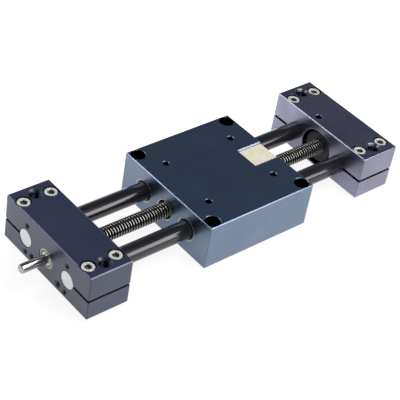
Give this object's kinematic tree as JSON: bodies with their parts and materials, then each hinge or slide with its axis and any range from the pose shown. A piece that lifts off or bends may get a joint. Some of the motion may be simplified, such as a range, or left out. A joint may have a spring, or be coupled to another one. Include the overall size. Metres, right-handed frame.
{
  "type": "linear positioning table",
  "caption": "Lead screw table: end blocks joined by round guide shafts, a square carriage that slides on them and a plain input journal for a knob or motor.",
  "frame": {"origin": "on the carriage's mounting face, in line with the lead screw, midway between the end blocks", "axes": "+X along the travel from the drive block to the tail block, +Y to the left seen from the drive end, +Z from the carriage's mounting face towards the base faces of the end blocks"},
  "size_m": [0.2676, 0.085, 0.034],
  "materials": {
    "end_block": "blue-violet anodised, satin",
    "carriage": "steel-blue anodised, satin",
    "guide_shaft": "dark hard-anodised, bare cut ends",
    "screw_steel": "rolled thread, lightly oiled",
    "bright_screw": "bright socket head screws",
    "bearing_steel": "ground",
    "shield": "pressed sheet",
    "cage": "pressed",
    "thrust_washer": "black polymer",
    "collar": "blackened",
    "nut_polymer": "cream bearing polymer, machined",
    "liner_polymer": "dark bearing polymer, moulded"
  },
  "bodies": {
    "frame": {"drive_end_block": "end_block", "tail_end_block": "end_block", "left_guide_shaft": "guide_shaft", "right_guide_shaft": "guide_shaft", "drive_clamp_screws": "bright_screw", "tail_clamp_screws": "bright_screw", "drive_bearing_outer_ring": "bearing_steel", "tail_bearing_outer_ring": "bearing_steel", "drive_bearing_shields": "shield", "tail_bearing_shields": "shield", "drive_thrust_washer": "thrust_washer", "tail_thrust_washer": "thrust_washer"},
    "screw": {"lead_screw": "screw_steel", "tail_clamp_collar": "collar", "collar_clamp_screw": "bright_screw", "drive_bearing_inner_ring": "bearing_steel", "tail_bearing_inner_ring": "bearing_steel"},
    "drive_ball_set": {"drive_bearing_balls": "bearing_steel", "drive_bearing_cage": "cage"},
    "tail_ball_set": {"tail_bearing_balls": "bearing_steel", "tail_bearing_cage": "cage"},
    "carriage": {"carriage_block": "carriage", "lead_nut": "nut_polymer", "nut_screws": "bright_screw", "drive_left_liner": "liner_polymer", "drive_right_liner": "liner_polymer", "tail_left_liner": "liner_polymer", "tail_right_liner": "liner_polymer"}
  },
  "joints": [
    {"name": "carriage_slide", "type": "slide", "parent": "frame", "child": "carriage", "axis": [1, 0, 0], "range_m": [-0.0585, 0.046]},
    {"name": "screw_spin", "type": "hinge", "parent": "frame", "child": "screw", "pos_m": [0, 0, 0.016], "axis": [1, 0, 0], "range_deg": [-8300, 10550]},
    {"name": "drive_balls_spin", "type": "hinge", "parent": "frame", "child": "drive_ball_set", "pos_m": [-0.1222, 0, 0.016], "axis": [1, 0, 0], "range_deg": [-3300, 4200]},
    {"name": "tail_balls_spin", "type": "hinge", "parent": "frame", "child": "tail_ball_set", "pos_m": [0.1222, 0, 0.016], "axis": [1, 0, 0], "range_deg": [-3300, 4200]}
  ],
  "couplings": [
    {"joint": "screw_spin", "follows": "carriage_slide", "rad_per_m": -3141.6},
    {"joint": "drive_balls_spin", "follows": "carriage_slide", "rad_per_m": -1240.1},
    {"joint": "tail_balls_spin", "follows": "carriage_slide", "rad_per_m": -1240.1}
  ]
}
